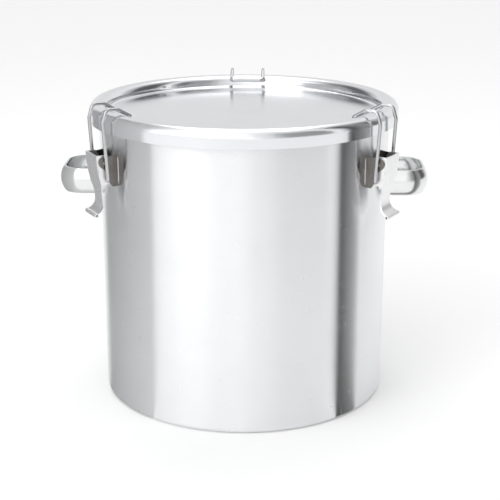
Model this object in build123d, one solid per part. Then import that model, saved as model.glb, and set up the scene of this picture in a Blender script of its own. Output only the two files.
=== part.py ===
from build123d import *
import math
import os

# Straight-sided clip-lid milk can. Millimetres, +Z up, origin at the centre of the base's underside.

# can
MOUTH_RADIUS = 150.0
SHEET = 1.0
CAN_RADIUS = MOUTH_RADIUS + SHEET
BASE_CORNER = 5.0
WELD_HEIGHT = 9.0
TRIM_HEIGHT = 700.0
CURL_RADIUS = 4.0
CURL_CENTRE_Z = 302.0
CURL_CENTRE_R = MOUTH_RADIUS + CURL_RADIUS

# lid
LID_SHEET = 1.2
CROWN_CENTRE_R = 151.8
CROWN_CENTRE_Z = 302.7
CROWN_RADIUS = 9.0
PANEL_TOP_Z = 299.4
PANEL_CORNER = 3.0
SKIRT_BOTTOM_Z = 293.0
HEM_THICKNESS = 0.8
HEM_HEIGHT = 2.4
HEM_STEP = 0.5
GASKET_GAP = 0.15
GASKET_CURL_GAP = 0.3
GASKET_BOTTOM_Z = 303.2

# latch stations around the can, in degrees
LATCHES = {"left": 210.0, "right": 330.0, "rear": 90.0}

# latch bracket
PLATE_THICKNESS = 1.5
BRACKET_HALF_WIDTH = 16.1
BRACKET_LOW_Z = 239.5
BRACKET_WEB_TOP_Z = 257.0
PIVOT_R = 163.5
PIVOT_Z = 264.0
PIN_RADIUS = 2.0
EYE_RADIUS = 6.0
FOOT_R = 156.5
FOOT_TOP_Z = 242.5
ARM_OUTER_R = 158.6
ARM_BEND_Z = 252.0
ARM_SHOULDER = 1.5

# latch lever
LEVER_HALF_WIDTH = 14.2
LEVER_TAIL_HALF_WIDTH = 13.0
LEVER_BLANK_DEPTH = 40.0
LEVER_CHEEK_FRONT = ((170.4, 258.0), (166.9, 240.0), (165.2, 231.0), (164.3, 231.0))
LEVER_CHEEK_INNER_R = 158.8
LEVER_CHEEK_BACK_Z = (258.0, 267.0)
LEVER_CHEEK_TOP_R = 162.0
BAIL_EYE_METAL = 4.2
LEVER_TOP_Z = 271.5
LEVER_TOP_R = 172.0
LEVER_FRONT = ((171.2, 258.0), (167.6, 240.0), (165.6, 227.0), (167.4, 217.0))
LEVER_WIDTHS = ((241.0, 14.2), (233.5, 10.1), (228.0, 9.5), (220.0, 10.1), (211.0, 13.0), (204.0, 13.0))
TAIL_CURL_RADIUS = 2.4
TAIL_CURL_BORE = 1.0
TAIL_CURL_R = 173.0
TAIL_CURL_Z = 210.6
TAIL_SINK = 0.3
TAIL_SLOPE = 0.45

# latch bail
WIRE_RADIUS = 1.75
BAIL_HALF_WIDTH = 18.5
BAIL_TOP_HALF_WIDTH = 17.8
BAIL_END_HALF_WIDTH = 12.4
BAIL_EYE_R = 162.0
BAIL_EYE_Z = 246.0
BAIL_HOOK = ((165.5, 304.0), (161.2, 317.0), (149.5, 316.6), (135.0, 308.2))
BAIL_BENDS = (2.4, 6.0, 5.5, 6.0, 4.0)
RUNNING_CLEARANCE = 0.08

# handles
HANDLE_HALF_WIDTH = 33.0
HANDLE_REACH_R = 189.0
HANDLE_BEND = 21.0
HANDLE_MID_Z = 230.0
HANDLE_HEIGHT = 26.0
HANDLE_CROWN = 4.0
HANDLE_THICKNESS = 2.2
HANDLE_OVERRUN = 8.0
HANDLES = {"left": 180.0, "right": 0.0}


def turned(wires):
    """Solid of revolution about Z from closed outlines drawn in the XZ plane."""
    return revolve(make_face(wires), axis=Axis.Z, revolution_arc=360)


def polar(centre_r, centre_z, radius, degrees):
    """Point on a circle in the XZ plane."""
    angle = math.radians(degrees)
    return (centre_r + radius * math.cos(angle), 0, centre_z + radius * math.sin(angle))


def arc(centre_r, centre_z, radius, start, end):
    """Arc in the XZ plane between two angles in degrees."""
    middle = (start + end) / 2
    return ThreePointArc(
        polar(centre_r, centre_z, radius, start),
        polar(centre_r, centre_z, radius, middle),
        polar(centre_r, centre_z, radius, end),
    )


def outline(*parts):
    """Closed list of edges from points and ready-made edges, joined by straight lines."""
    edges = []
    ends = []
    for part in parts:
        if isinstance(part, tuple):
            ends.append((part, part))
        else:
            edges.append(part)
            ends.append((tuple(part @ 0), tuple(part @ 1)))
    for index, (_, tail) in enumerate(ends):
        head = ends[(index + 1) % len(ends)][0]
        if math.dist(tail, head) > 1e-6:
            edges.append(Line(tail, head))
    return edges


def bottom_plate():
    """Pressed base disc with a rounded corner and a short upstand for the weld."""
    corner_r = CAN_RADIUS - BASE_CORNER
    return turned(outline(
        (0, 0, 0),
        arc(corner_r, BASE_CORNER, BASE_CORNER, -90, 0),
        (CAN_RADIUS, 0, WELD_HEIGHT),
        (MOUTH_RADIUS, 0, WELD_HEIGHT),
        arc(corner_r, BASE_CORNER, BASE_CORNER - SHEET, 0, -90),
        (0, 0, SHEET),
    ))


def body_shell():
    """Rolled wall with its mouth curled outwards."""
    inner = CURL_RADIUS - SHEET
    return turned(outline(
        (MOUTH_RADIUS, 0, WELD_HEIGHT),
        (CAN_RADIUS, 0, WELD_HEIGHT),
        (CAN_RADIUS, 0, CURL_CENTRE_Z),
        arc(CURL_CENTRE_R, CURL_CENTRE_Z, inner, 180, -115),
        arc(CURL_CENTRE_R, CURL_CENTRE_Z, CURL_RADIUS, -115, 180),
    ))


def lid_panel():
    """Pressed lid: sunken panel, rounded crown over the can's curl and a hemmed skirt."""
    inside = CROWN_RADIUS - LID_SHEET
    inner_r = CROWN_CENTRE_R - CROWN_RADIUS
    outer_r = CROWN_CENTRE_R + CROWN_RADIUS
    corner_r = inner_r - PANEL_CORNER
    corner_z = PANEL_TOP_Z + PANEL_CORNER
    hem_r = outer_r - LID_SHEET - HEM_THICKNESS
    hem_top_z = SKIRT_BOTTOM_Z + HEM_HEIGHT
    return turned(outline(
        (0, 0, PANEL_TOP_Z),
        arc(corner_r, corner_z, PANEL_CORNER, -90, 0),
        arc(CROWN_CENTRE_R, CROWN_CENTRE_Z, CROWN_RADIUS, 180, 0),
        (outer_r, 0, SKIRT_BOTTOM_Z),
        (hem_r, 0, SKIRT_BOTTOM_Z),
        (hem_r, 0, hem_top_z),
        (outer_r - LID_SHEET, 0, hem_top_z + HEM_STEP),
        arc(CROWN_CENTRE_R, CROWN_CENTRE_Z, inside, 0, 180),
        (inner_r + LID_SHEET, 0, corner_z),
        arc(corner_r, corner_z, PANEL_CORNER + LID_SHEET, 0, -90),
        (0, 0, PANEL_TOP_Z - LID_SHEET),
    ))


def lid_gasket():
    """Moulded seal that fills the crown's channel above the can's curl."""
    inside = CROWN_RADIUS - LID_SHEET - GASKET_GAP
    channel = turned(outline(
        arc(CROWN_CENTRE_R, CROWN_CENTRE_Z, inside, 4, 176),
    ))
    curl = Pos(0, 0, CURL_CENTRE_Z) * Torus(CURL_CENTRE_R, CURL_RADIUS + GASKET_CURL_GAP)
    below = Cylinder(MOUTH_RADIUS + 20, 20, align=(Align.CENTER, Align.CENTER, Align.MAX))
    return channel - curl - Pos(0, 0, GASKET_BOTTOM_Z) * below


def at_station(shape, degrees):
    """Turn a piece drawn on the +X side of the can to its place around the wall."""
    return Rot(0, 0, degrees) * shape


def plate_xz(wires, low_y, high_y):
    """Flat sheet with an outline in the XZ plane, between two Y positions."""
    face = make_face(wires)
    return Pos(0, low_y, 0) * extrude(face, high_y - low_y, dir=(0, 1, 0))


def cheek_outline():
    """Side of the bracket: a full plate on the wall whose upper end carries the pivot eye."""
    return outline(
        (MOUTH_RADIUS, 0, BRACKET_LOW_Z),
        (FOOT_R, 0, BRACKET_LOW_Z),
        (ARM_OUTER_R, 0, FOOT_TOP_Z),
        (ARM_OUTER_R, 0, ARM_BEND_Z),
        arc(PIVOT_R, PIVOT_Z, EYE_RADIUS, -45, 90),
        (MOUTH_RADIUS, 0, PIVOT_Z + EYE_RADIUS + ARM_SHOULDER),
    )


def latch_bracket():
    """Folded bracket welded to the wall: curved web and two cheeks with pivot eyes."""
    height = BRACKET_WEB_TOP_Z - BRACKET_LOW_Z
    web = Cylinder(CAN_RADIUS + PLATE_THICKNESS, height, align=(Align.CENTER, Align.CENTER, Align.MIN))
    web &= Pos(CAN_RADIUS, 0, 0) * Box(30, 2 * BRACKET_HALF_WIDTH, 2 * height)
    shape = Pos(0, 0, BRACKET_LOW_Z) * web
    for side in (-1, 1):
        edges = sorted((side * BRACKET_HALF_WIDTH, side * (BRACKET_HALF_WIDTH - PLATE_THICKNESS)))
        shape += plate_xz(cheek_outline(), edges[0], edges[1])
    eye = Rot(90, 0, 0) * Cylinder(PIN_RADIUS, 3 * BRACKET_HALF_WIDTH)
    shape -= Pos(PIVOT_R, 0, PIVOT_Z) * eye
    return shape - Cylinder(CAN_RADIUS, TRIM_HEIGHT)


def pivot_pin():
    """Pin fixed in the bracket's eyes, flush with both cheeks."""
    pin = Rot(90, 0, 0) * Cylinder(PIN_RADIUS, 2 * BRACKET_HALF_WIDTH)
    return Pos(PIVOT_R, 0, PIVOT_Z) * pin


def lever_face():
    """Pressed front of the lever: shallow S from the top edge to the flared tail."""
    t = PLATE_THICKNESS
    tail_z = TAIL_CURL_Z + TAIL_CURL_RADIUS - TAIL_SINK
    front_points = [(LEVER_TOP_R, 0, LEVER_TOP_Z)]
    back_points = [(LEVER_TOP_R - t, 0, LEVER_TOP_Z)]
    for r, z in LEVER_FRONT[:-1]:
        front_points.append((r, 0, z))
        back_points.append((r - t, 0, z))
    flare_r, flare_z = LEVER_FRONT[-1]
    front_points += [(flare_r, 0, flare_z), (TAIL_CURL_R, 0, tail_z)]
    back_points += [(flare_r - 0.85 * t, 0, flare_z - 0.55 * t), (TAIL_CURL_R, 0, tail_z - t)]
    front = Spline(*front_points, tangents=((0, 0, -1), (1, 0, -TAIL_SLOPE)))
    back = Spline(*reversed(back_points), tangents=((-1, 0, TAIL_SLOPE), (0, 0, 1)))
    sheet = plate_xz(outline(front, back), -LEVER_HALF_WIDTH, LEVER_HALF_WIDTH)
    return sheet & lever_width()


def lever_width():
    """Front-view outline of the lever: wide at the pivot, waisted, wider again at the tail."""
    half = [(LEVER_TOP_Z + 1, LEVER_HALF_WIDTH), *LEVER_WIDTHS]
    right = [(MOUTH_RADIUS, width, z) for z, width in half]
    left = [(MOUTH_RADIUS, -width, z) for z, width in reversed(half)]
    face = make_face(Polyline(*right, *left, close=True))
    return extrude(face, LEVER_BLANK_DEPTH, dir=(1, 0, 0))


def lever_cheek_outline():
    """Side of the lever, from the pivot eye down past the bail's eye."""
    front = [(r, 0, z) for r, z in LEVER_CHEEK_FRONT]
    back = [(LEVER_CHEEK_INNER_R, 0, z) for z in LEVER_CHEEK_BACK_Z]
    return outline(
        (LEVER_TOP_R - 1, 0, LEVER_TOP_Z),
        *front,
        arc(BAIL_EYE_R, BAIL_EYE_Z, BAIL_EYE_METAL, -60, -180),
        *back,
        (LEVER_CHEEK_TOP_R, 0, LEVER_TOP_Z),
    )


def latch_lever():
    """Over-centre lever: pressed front, two cheeks and a curled tail edge."""
    shape = lever_face()
    for side in (-1, 1):
        edges = sorted((side * LEVER_HALF_WIDTH, side * (LEVER_HALF_WIDTH - PLATE_THICKNESS)))
        shape += plate_xz(lever_cheek_outline(), edges[0], edges[1]) & lever_width()
    curl = Rot(90, 0, 0) * Cylinder(TAIL_CURL_RADIUS, 2 * LEVER_TAIL_HALF_WIDTH)
    shape += Pos(TAIL_CURL_R, 0, TAIL_CURL_Z) * curl
    bore = Rot(90, 0, 0) * Cylinder(TAIL_CURL_BORE, 3 * LEVER_TAIL_HALF_WIDTH)
    shape -= Pos(TAIL_CURL_R, 0, TAIL_CURL_Z) * bore
    pin_hole = Rot(90, 0, 0) * Cylinder(PIN_RADIUS + RUNNING_CLEARANCE, 3 * LEVER_HALF_WIDTH)
    wire_hole = Rot(90, 0, 0) * Cylinder(WIRE_RADIUS + RUNNING_CLEARANCE, 3 * LEVER_HALF_WIDTH)
    shape -= Pos(PIVOT_R, 0, PIVOT_Z) * pin_hole
    shape -= Pos(BAIL_EYE_R, 0, BAIL_EYE_Z) * wire_hole
    return shape


def latch_bail():
    """Wire bail: ends turned into the lever, legs up past the skirt and a hook over the crown."""
    side = [
        (BAIL_EYE_R, BAIL_END_HALF_WIDTH, BAIL_EYE_Z),
        (BAIL_EYE_R, BAIL_HALF_WIDTH, BAIL_EYE_Z),
    ]
    side += [(r, BAIL_TOP_HALF_WIDTH, z) for r, z in BAIL_HOOK]
    mirrored = [(x, -y, z) for x, y, z in reversed(side)]
    path = FilletPolyline(*side, *mirrored, radius=BAIL_BENDS + BAIL_BENDS[::-1])
    section = Plane(origin=path @ 0, z_dir=path % 0) * Circle(WIRE_RADIUS)
    return sweep(section, path=path)


def handle():
    """Crowned strap bent to a U and welded edge-on to the wall."""
    start_x = MOUTH_RADIUS - HANDLE_OVERRUN
    start_y = -HANDLE_HALF_WIDTH
    path = FilletPolyline(
        (start_x, -HANDLE_HALF_WIDTH, HANDLE_MID_Z),
        (HANDLE_REACH_R, -HANDLE_HALF_WIDTH, HANDLE_MID_Z),
        (HANDLE_REACH_R, HANDLE_HALF_WIDTH, HANDLE_MID_Z),
        (start_x, HANDLE_HALF_WIDTH, HANDLE_MID_Z),
        radius=HANDLE_BEND,
    )
    half = HANDLE_HEIGHT / 2
    t = HANDLE_THICKNESS
    crown = HANDLE_CROWN
    low = HANDLE_MID_Z - half
    high = HANDLE_MID_Z + half
    outer = ThreePointArc(
        (start_x, start_y, low),
        (start_x, start_y - crown, HANDLE_MID_Z),
        (start_x, start_y, high),
    )
    inner = ThreePointArc(
        (start_x, start_y + t, high),
        (start_x, start_y + t - crown, HANDLE_MID_Z),
        (start_x, start_y + t, low),
    )
    strap = sweep(make_face(outline(outer, inner)), path=path)
    return strap - Cylinder(CAN_RADIUS, TRIM_HEIGHT)


def build_parts():
    """Every piece by name."""
    parts = {
        "bottom_plate": bottom_plate(),
        "body_shell": body_shell(),
        "lid_panel": lid_panel(),
        "lid_gasket": lid_gasket(),
    }
    pieces = {
        "bracket": latch_bracket(),
        "pivot_pin": pivot_pin(),
        "lever": latch_lever(),
        "bail": latch_bail(),
    }
    for place, degrees in LATCHES.items():
        for name, shape in pieces.items():
            parts[f"{place}_latch_{name}"] = at_station(shape, degrees)
    strap = handle()
    for place, degrees in HANDLES.items():
        parts[f"{place}_handle"] = at_station(strap, degrees)
    return parts


os.makedirs("parts", exist_ok=True)
for node, shape in build_parts().items():
    export_step(shape, f"parts/{node}.step")
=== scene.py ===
import math

import bmesh
import bpy
from mathutils import Matrix, Vector


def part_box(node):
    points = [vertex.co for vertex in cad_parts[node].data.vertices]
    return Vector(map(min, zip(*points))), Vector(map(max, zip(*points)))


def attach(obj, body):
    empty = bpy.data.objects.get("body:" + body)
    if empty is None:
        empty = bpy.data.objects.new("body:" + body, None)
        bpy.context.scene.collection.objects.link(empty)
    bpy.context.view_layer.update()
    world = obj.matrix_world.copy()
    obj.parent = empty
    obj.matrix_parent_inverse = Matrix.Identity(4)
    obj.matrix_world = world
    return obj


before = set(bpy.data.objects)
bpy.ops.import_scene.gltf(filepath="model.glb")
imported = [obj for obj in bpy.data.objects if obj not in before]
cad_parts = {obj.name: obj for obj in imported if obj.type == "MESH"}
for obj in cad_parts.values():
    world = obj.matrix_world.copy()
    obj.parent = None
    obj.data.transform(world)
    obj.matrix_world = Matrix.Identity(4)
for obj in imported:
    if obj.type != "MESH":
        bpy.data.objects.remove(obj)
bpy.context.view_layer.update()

MM = 0.001

# where each latch and each handle stands round the can, in degrees from +X
LATCH_DEGREES = {"left": 210.0, "right": 330.0, "rear": 90.0}
HANDLE_DEGREES = {"left": 180.0, "right": 0.0}

# the can's mouth curls out past its wall by this much
CURL_REACH = 7.0 * MM
WALL_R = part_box("body_shell")[1][0] - CURL_REACH
HANDLE_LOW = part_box("right_handle")[0][2]
HANDLE_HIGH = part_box("right_handle")[1][2]
HANDLE_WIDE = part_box("right_handle")[1][1]
HANDLE_CROWN = 4.0 * MM
BRACKET_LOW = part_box("rear_latch_bracket")[0][2]
BRACKET_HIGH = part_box("rear_latch_bracket")[1][2]
BRACKET_HALF_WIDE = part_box("rear_latch_bracket")[1][0]

# weld beads: half width, the line's distance from the edge it joins, and the height left bare at each end
HANDLE_BEAD = 1.0 * MM
HANDLE_BEAD_GAP = 0.2 * MM
HANDLE_BEAD_END = 0.6 * MM
BRACKET_BEAD = 0.7 * MM
BRACKET_BEAD_GAP = 0.1 * MM
BRACKET_BEAD_END = 2.0 * MM
BEAD_RIPPLE = 0.10
BEAD_RIPPLE_TURN = 1.9
BEAD_TIP = 0.35
BEAD_FADE = 3.0
BEAD_FLATNESS = 0.8
BEAD_LEAN = 0.8

# camera: in front of the can, a little to the right of it and above the rim
CAMERA_PLACE = (0.0348, -1.2475, 0.5394)
CAMERA_TILT = 72.49
CAMERA_TURN = 1.6
CAMERA_LENS = 86.93
CAMERA_SENSOR = 36.0
CAMERA_SHIFT = 0.0122

# polish lines: how many to the metre across their run, and how slowly they change along it
LINES_PER_METRE = 1000.0
LINE_CHANGE = 1.2
STRAP_LINES_PER_METRE = 1500.0
STRAP_LINE_CHANGE = 160.0

# steels: light colour, dark colour, roughness, run and depth of the polish lines, unevenness of the polish.
# The brackets are painted dark and warm: a painted reflection of the dark surroundings, not a tint of their
# own.
STEELS = {
    "wall_steel": ((0.86, 0.87, 0.88), (0.83, 0.84, 0.85), 0.27, "round", 0.12, 0.03),
    "lid_steel": ((0.84, 0.85, 0.87), (0.80, 0.81, 0.83), 0.16, "flat", 0.10, 0.14),
    "handle_steel": ((0.85, 0.86, 0.86), (0.79, 0.80, 0.80), 0.20, "up", 0.25, 0.14),
    "latch_steel": ((0.90, 0.90, 0.905), (0.82, 0.82, 0.83), 0.30, "up", 0.3, 0.14),
    "bracket_painted_reflection_steel": ((0.22, 0.205, 0.195), (0.11, 0.10, 0.095), 0.22, "up", 0.4, 0.14),
    # the wire's darker colour is painted shade for the shade under its arms
    "wire_painted_shade_steel": ((0.60, 0.60, 0.61), (0.50, 0.50, 0.51), 0.22, "up", 0.3, 0.14),
    "pin_steel": ((0.62, 0.62, 0.63), (0.52, 0.52, 0.53), 0.28, "up", 0.3, 0.14),
    "weld_steel": ((0.76, 0.75, 0.74), (0.62, 0.61, 0.60), 0.34, "up", 0.6, 0.14),
}

RUBBER_DARK = (0.72, 0.71, 0.68, 1)
RUBBER_LIGHT = (0.84, 0.83, 0.80, 1)
FLOOR_DARK = (0.94, 0.94, 0.94, 1)
FLOOR_LIGHT = (0.96, 0.96, 0.96, 1)
FLOOR_GLOW = 0.08
FLOOR_REACH = 12.0
FLOOR_RINGS = 12
FLOOR_SECTORS = 48
FLOOR_DROP = 0.2 * MM

# how bright the studio is in each direction, by degrees from straight behind the camera towards +X
STUDIO = (
    (-180, 0.80), (-156, 0.84), (-144, 0.62), (-128, 0.14), (-96, 0.18), (-78, 0.90),
    (-60, 1.50), (-4, 1.40), (16, 0.88), (36, 0.37), (66, 0.33), (73, 1.20), (79, 0.70),
    (85, 0.10), (110, 0.12), (122, 0.55), (136, 0.92), (180, 0.80),
)

# the sky above it, and the heights of a direction between which the studio blends into it
SKY = 1.12
SKY_FROM = 0.62
SKY_TO = 0.98

# boards, seen only in the metal as painted reflections: name, front and rear edge (x, y), the wall angles
# that mirror those edges, the painted shade at each edge
BOARDS = (
    ("board_right_black", (0.300, -0.150), (0.300, -0.122), (-49.4, -46.8), (0.12, 0.02)),
    ("board_right_grey", (0.300, -0.1215), (0.300, -0.050), (-46.6, -38.4), (0.14, 0.42)),
    ("board_left_grey", (-0.320, -0.190), (-0.320, 0.205), (-126.7, -162.5), (0.86, 0.47)),
)
BOARD_COLUMNS = 8
BOARD_FOOT = 1.0 * MM
BOARD_HEIGHT = 0.60
CARD_LIFT = 0.4 * MM
# the floor cards' painted shade is this share of their board's, so that a card lit from above mirrors as
# dark as its board
CARD_PAINTED_SHADE_SHARE = 0.85


# node helpers ---------------------------------------------------------------

class Nodes:
    """Short calls for building one node tree."""

    def __init__(self, tree):
        self.tree = tree

    def put(self, node, key, value):
        """Set or link an input: _0 is input number 0, and other underscores stand for spaces."""
        key = int(key[1:]) if key[0] == "_" else key.replace("_", " ")
        socket = node.inputs[key]
        if isinstance(value, bpy.types.NodeSocket):
            self.tree.links.new(value, socket)
        else:
            socket.default_value = value

    def add(self, kind, **inputs):
        node = self.tree.nodes.new(kind)
        for key, value in inputs.items():
            self.put(node, key, value)
        return node

    def math(self, operation, a, b=0.0):
        node = self.add("ShaderNodeMath", _0=a, _1=b)
        node.operation = operation
        return node.outputs[0]

    def times(self, a, b):
        return self.math("MULTIPLY", a, b)

    def plus(self, a, b):
        return self.math("ADD", a, b)

    def spread(self, value, low_in, high_in, low_out, high_out):
        node = self.add("ShaderNodeMapRange", Value=value, From_Min=low_in, From_Max=high_in)
        self.put(node, "To_Min", low_out)
        self.put(node, "To_Max", high_out)
        return node.outputs[0]

    def noise(self, place, scale, detail, rough):
        node = self.add("ShaderNodeTexNoise", Vector=place, Scale=scale, Detail=detail, Roughness=rough)
        return node.outputs["Fac"]

    def split(self, vector):
        return self.add("ShaderNodeSeparateXYZ", Vector=vector).outputs

    def combine(self, x, y, z):
        return self.add("ShaderNodeCombineXYZ", X=x, Y=y, Z=z).outputs[0]

    def mix_colour(self, share, a, b):
        node = self.tree.nodes.new("ShaderNodeMix")
        node.data_type = "RGBA"
        self.put(node, "_0", share)
        self.put(node, "_6", a)
        self.put(node, "_7", b)
        return node.outputs[2]

    def bump(self, height, distance, strength, onto=None):
        node = self.add("ShaderNodeBump", Height=height, Distance=distance, Strength=strength)
        if onto is not None:
            self.put(node, "Normal", onto)
        return node.outputs[0]

    def position(self):
        return self.add("ShaderNodeTexCoord").outputs["Object"]


class Paint(Nodes):
    """A new material, with its node tree and its shader."""

    def __init__(self, name):
        self.material = bpy.data.materials.new(name)
        self.material.use_nodes = True
        super().__init__(self.material.node_tree)
        self.shader = self.tree.nodes["Principled BSDF"]

    def set(self, key, value):
        self.put(self.shader, key, value)


def grey_colour(level):
    return (level, level, level, 1)


# materials ------------------------------------------------------------------

def polish_lines(paint, run):
    """Fine lines: 'round' a turned wall, round a 'flat' disc, or 'up' a strap or a pressing."""
    parts = paint.split(paint.position())
    x, y, height = parts["X"], parts["Y"], parts["Z"]
    if run == "up":
        across = paint.times(x, STRAP_LINES_PER_METRE), paint.times(y, STRAP_LINES_PER_METRE)
        place = paint.combine(*across, paint.times(height, STRAP_LINE_CHANGE))
    else:
        angle = paint.math("ARCTAN2", y, x)
        radius = paint.math("SQRT", paint.plus(paint.times(x, x), paint.times(y, y)))
        along = [paint.times(paint.math(wave, angle), LINE_CHANGE) for wave in ("COSINE", "SINE")]
        across = height if run == "round" else radius
        place = paint.combine(*along, paint.times(across, LINES_PER_METRE))
    return paint.noise(place, 1.0, 3.0, 0.6)


def buffed_steel(name):
    """Stainless steel with polish lines, a slightly clouded colour and an uneven shine."""
    colour, dark, rough, run, scratch, unevenness = STEELS[name]
    paint = Paint(name)
    lines = polish_lines(paint, run)
    cloud = paint.noise(paint.position(), 22.0, 3.0, 0.55)
    smear = paint.noise(paint.position(), 95.0, 5.0, 0.65)
    tone = paint.plus(paint.times(cloud, 0.6), paint.times(lines, 0.4))
    share = paint.spread(tone, 0.35, 0.65, 0.0, 1.0)
    paint.set("Base Color", paint.mix_colour(share, (*dark, 1), (*colour, 1)))
    paint.set("Metallic", 1.0)
    wear = paint.plus(smear, paint.times(lines, 0.5))
    smoothest, roughest = rough * (1 - unevenness), rough * (1 + unevenness)
    paint.set("Roughness", paint.spread(wear, 0.5, 1.1, smoothest, roughest))
    line_bump = paint.bump(lines, 0.02 * MM, scratch)
    paint.set("Normal", paint.bump(cloud, 0.4 * MM, 0.05, line_bump))
    return paint


def wall_steel():
    """Rolled and buffed sheet: polish lines round the can draw every reflection out upwards."""
    paint = buffed_steel("wall_steel")
    tangent = paint.tree.nodes.new("ShaderNodeTangent")
    tangent.direction_type = "RADIAL"
    tangent.axis = "Z"
    paint.set("Tangent", tangent.outputs[0])
    paint.set("Anisotropic", 1.0)
    paint.set("Anisotropic Rotation", 0.25)
    return paint.material


def gasket_rubber():
    """Pale rubber with a fine grain and a patchy colour."""
    paint = Paint("gasket_rubber")
    grain = paint.noise(paint.position(), 900.0, 4.0, 0.6)
    patch = paint.noise(paint.position(), 60.0, 3.0, 0.5)
    share = paint.spread(patch, 0.35, 0.65, 0.0, 1.0)
    paint.set("Base Color", paint.mix_colour(share, RUBBER_DARK, RUBBER_LIGHT))
    paint.set("Roughness", paint.spread(grain, 0.3, 0.7, 0.5, 0.66))
    paint.set("Normal", paint.bump(grain, 0.06 * MM, 0.4))
    return paint.material


def floor_paper():
    """White studio paper, lit a little from within so that it stays white beside the can."""
    paint = Paint("floor_paper")
    grain = paint.noise(paint.position(), 260.0, 4.0, 0.6)
    share = paint.spread(grain, 0.3, 0.7, 0.0, 1.0)
    paint.set("Base Color", paint.mix_colour(share, FLOOR_DARK, FLOOR_LIGHT))
    paint.set("Roughness", 0.9)
    paint.set("Specular IOR Level", 0.1)
    paint.set("Emission Color", grey_colour(1))
    paint.set("Emission Strength", FLOOR_GLOW)
    paint.set("Normal", paint.bump(grain, 0.2 * MM, 0.1))
    return paint.material


def reflection_board_paint(name):
    """Matt paint whose shade follows the mesh's own tone, the painted light and shade that the metal
    mirrors.
    """
    paint = Paint(name)
    painted = paint.tree.nodes.new("ShaderNodeAttribute")
    painted.attribute_name = "tone"
    paint.set("Base Color", painted.outputs["Color"])
    paint.set("Roughness", 0.95)
    paint.set("Specular IOR Level", 0.1)
    return paint.material


def dress(node, material):
    """Give a CAD node's object its finish."""
    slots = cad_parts[node].data.materials
    if len(slots) == 0:
        slots.append(material)
    for index in range(len(slots)):
        slots[index] = material


def dress_cad():
    wall = wall_steel()
    dress("body_shell", wall)
    dress("bottom_plate", wall)
    dress("lid_panel", buffed_steel("lid_steel").material)
    dress("lid_gasket", gasket_rubber())
    handle = buffed_steel("handle_steel").material
    for side in HANDLE_DEGREES:
        dress(side + "_handle", handle)
    latch_finishes = {
        # the brackets' dark warm colour is a painted reflection
        "bracket": buffed_steel("bracket_painted_reflection_steel").material,
        "lever": buffed_steel("latch_steel").material,
        # the wire's darker colour is painted shade
        "bail": buffed_steel("wire_painted_shade_steel").material,
        "pivot_pin": buffed_steel("pin_steel").material,
    }
    for place in LATCH_DEGREES:
        for piece, finish in latch_finishes.items():
            dress(f"{place}_latch_{piece}", finish)


# pieces ---------------------------------------------------------------------

def new_object(name, mesh, material):
    piece = bpy.data.objects.new(name, mesh)
    bpy.context.scene.collection.objects.link(piece)
    mesh.materials.append(material)
    return piece


def new_piece(name, mesh, material, body):
    """A smooth piece of the object that rides on one of its bodies."""
    piece = new_object(name, mesh, material)
    for face in mesh.polygons:
        face.use_smooth = True
    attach(piece, body)


def bead_mesh(name, points, width):
    """A closed-ended bead along points, each (place, outward), with the ripple a welder leaves."""
    sides = 10
    mesh = bpy.data.meshes.new(name)
    bm = bmesh.new()
    rings = []
    count = len(points)
    for index, (place, outward) in enumerate(points):
        before = points[max(index - 1, 0)][0]
        after = points[min(index + 1, count - 1)][0]
        forward = (after - before).normalized()
        side = forward.cross(outward).normalized()
        out = side.cross(forward).normalized()
        fade = min(1.0, (index + BEAD_TIP) / BEAD_FADE, (count - 1 - index + BEAD_TIP) / BEAD_FADE)
        swell = width * fade * (1.0 + BEAD_RIPPLE * math.sin(index * BEAD_RIPPLE_TURN))
        ring = []
        for step in range(sides):
            turn = 2 * math.pi * step / sides
            sideways = side * (math.cos(turn) * swell)
            outwards = out * (math.sin(turn) * swell * BEAD_FLATNESS)
            ring.append(bm.verts.new(place + sideways + outwards))
        rings.append(ring)
    for first, second in zip(rings, rings[1:]):
        for step in range(sides):
            follow = (step + 1) % sides
            bm.faces.new((first[step], first[follow], second[follow], second[step]))
    bm.faces.new(reversed(rings[0]))
    bm.faces.new(rings[-1])
    bmesh.ops.recalc_face_normals(bm, faces=bm.faces)
    bm.to_mesh(mesh)
    bm.free()
    return mesh


def wall_point(turn, y, z, end):
    """A point on the wall at y and z before the turn round the can, and the way a bead there faces."""
    x = math.sqrt(WALL_R**2 - y**2)
    outward = Vector((x, y, 0)).normalized() + Vector((0, end * BEAD_LEAN, 0))
    return turn @ Vector((x, y, z)), turn.to_3x3() @ outward.normalized()


def handle_welds(material):
    """Small fillet beads where each handle's two ends stand on the wall."""
    steps = 24
    half_wide = HANDLE_WIDE - HANDLE_CROWN
    middle = (HANDLE_LOW + HANDLE_HIGH) / 2
    half_high = (HANDLE_HIGH - HANDLE_LOW) / 2
    for side, degrees in HANDLE_DEGREES.items():
        turn = Matrix.Rotation(math.radians(degrees), 4, "Z")
        for end, label in ((-1, "low"), (1, "high")):
            points = []
            for step in range(steps + 1):
                share = -1 + 2 * step / steps
                z = middle + share * (half_high - HANDLE_BEAD_END)
                y = end * (half_wide + HANDLE_CROWN * (1 - share * share) + HANDLE_BEAD_GAP)
                points.append(wall_point(turn, y, z, end))
            name = f"{side}_handle_weld_{label}"
            new_piece(name, bead_mesh(name, points, HANDLE_BEAD), material, "can")


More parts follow.
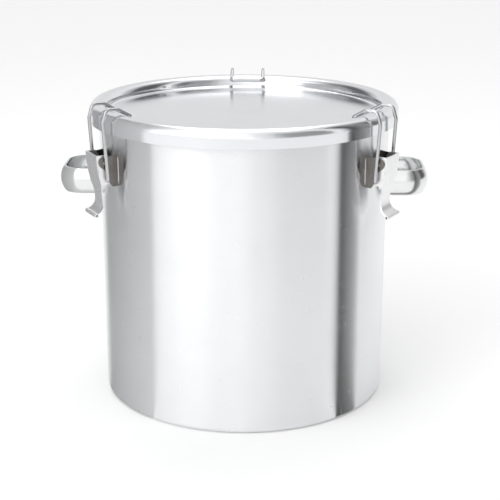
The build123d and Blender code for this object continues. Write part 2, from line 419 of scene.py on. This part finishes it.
def bracket_welds(material):
    """Beads down both edges of each bracket's web."""
    steps = 20
    low = BRACKET_LOW + BRACKET_BEAD_END
    high = BRACKET_HIGH - BRACKET_BEAD_END
    for place, degrees in LATCH_DEGREES.items():
        turn = Matrix.Rotation(math.radians(degrees), 4, "Z")
        for end, label in ((-1, "low"), (1, "high")):
            y = end * (BRACKET_HALF_WIDE + BRACKET_BEAD_GAP)
            points = [
                wall_point(turn, y, low + (high - low) * step / steps, end)
                for step in range(steps + 1)
            ]
            name = f"{place}_bracket_weld_{label}"
            new_piece(name, bead_mesh(name, points, BRACKET_BEAD), material, "can")


# stage ----------------------------------------------------------------------

def circle_point(radius, sector):
    turn = 2 * math.pi * sector / FLOOR_SECTORS
    return radius * math.cos(turn), radius * math.sin(turn), 0


def floor():
    """A wide disc of rings that are closer together near the can."""
    mesh = bpy.data.meshes.new("floor")
    bm = bmesh.new()
    centre = bm.verts.new((0, 0, 0))
    previous = None
    for ring in range(1, FLOOR_RINGS + 1):
        radius = FLOOR_REACH * (ring / FLOOR_RINGS) ** 2
        now = [bm.verts.new(circle_point(radius, sector)) for sector in range(FLOOR_SECTORS)]
        for sector in range(FLOOR_SECTORS):
            follow = (sector + 1) % FLOOR_SECTORS
            if previous is None:
                bm.faces.new((centre, now[sector], now[follow]))
            else:
                bm.faces.new((previous[sector], now[sector], now[follow], previous[follow]))
        previous = now
    bm.to_mesh(mesh)
    bm.free()
    piece = new_object("floor", mesh, floor_paper())
    piece.location = (0, 0, -FLOOR_DROP)


def reflection_only_sheet(name, near_edge, far_edge, shades):
    """A sheet between two edges, each (front end, rear end), that only shows in polished metal: a painted
    reflection, shaded from front to rear.
    """
    mesh = bpy.data.meshes.new(name)
    bm = bmesh.new()
    tone = bm.verts.layers.float_color.new("tone")
    rows = []
    for front, rear in (near_edge, far_edge):
        row = []
        for column in range(BOARD_COLUMNS + 1):
            share = column / BOARD_COLUMNS
            vert = bm.verts.new(Vector(front).lerp(Vector(rear), share))
            vert[tone] = grey_colour(shades[0] + (shades[1] - shades[0]) * share)
            row.append(vert)
        rows.append(row)
    near, far = rows
    for column in range(BOARD_COLUMNS):
        bm.faces.new((near[column], near[column + 1], far[column + 1], far[column]))
    bm.to_mesh(mesh)
    bm.free()
    sheet = new_object(name, mesh, reflection_board_paint(name + "_paint"))
    sheet.visible_camera = False
    sheet.visible_diffuse = False
    sheet.visible_shadow = False


def board(name, front, rear, wall_angles, shades):
    """A board beside the can and its card on the floor between the two, which polished metal mirrors:
    painted reflections, the card a painted darker floor.
    """
    low = [(*edge, BOARD_FOOT) for edge in (front, rear)]
    high = [(*edge, BOARD_HEIGHT) for edge in (front, rear)]
    reflection_only_sheet(name, low, high, shades)
    turns = [math.radians(degrees) for degrees in wall_angles]
    wall_edge = [(WALL_R * math.cos(turn), WALL_R * math.sin(turn), CARD_LIFT) for turn in turns]
    board_edge = [(*edge, CARD_LIFT) for edge in (front, rear)]
    reflection_only_sheet(name + "_card", wall_edge, board_edge, [shade * CARD_PAINTED_SHADE_SHARE for shade in shades])


# light and camera -----------------------------------------------------------

def studio_world():
    """Light that changes with the direction round the can, and evens out overhead."""
    world = bpy.data.worlds.new("studio")
    bpy.context.scene.world = world
    world.use_nodes = True
    nodes = Nodes(world.node_tree)
    nodes.tree.nodes.clear()
    parts = nodes.split(nodes.add("ShaderNodeTexCoord").outputs["Generated"])
    angle = nodes.math("ARCTAN2", parts["X"], nodes.times(parts["Y"], -1.0))
    share = nodes.spread(angle, -math.pi, math.pi, 0.0, 1.0)
    ramp = nodes.add("ShaderNodeValToRGB", Fac=share)
    ramp.color_ramp.interpolation = "EASE"
    stops = ramp.color_ramp.elements
    while len(stops) > 1:
        stops.remove(stops[-1])
    brightest = max(level for _, level in STUDIO)
    for index, (degrees, level) in enumerate(STUDIO):
        place = (degrees + 180) / 360
        stop = stops[0] if index == 0 else stops.new(place)
        stop.position = place
        stop.color = grey_colour(level / brightest)
    overhead = nodes.spread(parts["Z"], SKY_FROM, SKY_TO, 0.0, 1.0)
    colour = nodes.mix_colour(overhead, ramp.outputs[0], grey_colour(SKY / brightest))
    glow = nodes.add("ShaderNodeBackground", Color=colour, Strength=brightest)
    nodes.add("ShaderNodeOutputWorld", Surface=glow.outputs[0])


def softbox(name, place, aim, size, watts):
    lamp = bpy.data.lights.new(name, "AREA")
    lamp.shape = "RECTANGLE"
    lamp.size, lamp.size_y = size
    lamp.energy = watts
    holder = bpy.data.objects.new(name, lamp)
    bpy.context.scene.collection.objects.link(holder)
    holder.location = place
    holder.rotation_euler = (Vector(aim) - Vector(place)).to_track_quat("-Z", "Y").to_euler()


def lights():
    studio_world()
    softbox("key", place=(-1.3, -1.5, 1.5), aim=(0, 0, 0.15), size=(1.0, 1.3), watts=6.0)
    softbox("top", place=(0.0, 0.3, 2.0), aim=(0, 0, 0.3), size=(1.6, 1.6), watts=6.5)
    # painted reflections: boards and their floor cards, seen only in the metal
    for facts in BOARDS:
        board(*facts)


def camera():
    view = bpy.data.cameras.new("camera")
    view.sensor_width = CAMERA_SENSOR
    view.lens = CAMERA_LENS
    view.shift_x = CAMERA_SHIFT
    view.clip_end = 50.0
    eye = bpy.data.objects.new("camera", view)
    bpy.context.scene.collection.objects.link(eye)
    eye.location = CAMERA_PLACE
    eye.rotation_euler = (math.radians(CAMERA_TILT), 0, math.radians(CAMERA_TURN))
    bpy.context.scene.camera = eye


def build():
    dress_cad()
    weld = buffed_steel("weld_steel").material
    handle_welds(weld)
    bracket_welds(weld)
    floor()
    lights()
    camera()
    bpy.context.scene.view_settings.view_transform = "Standard"


build()
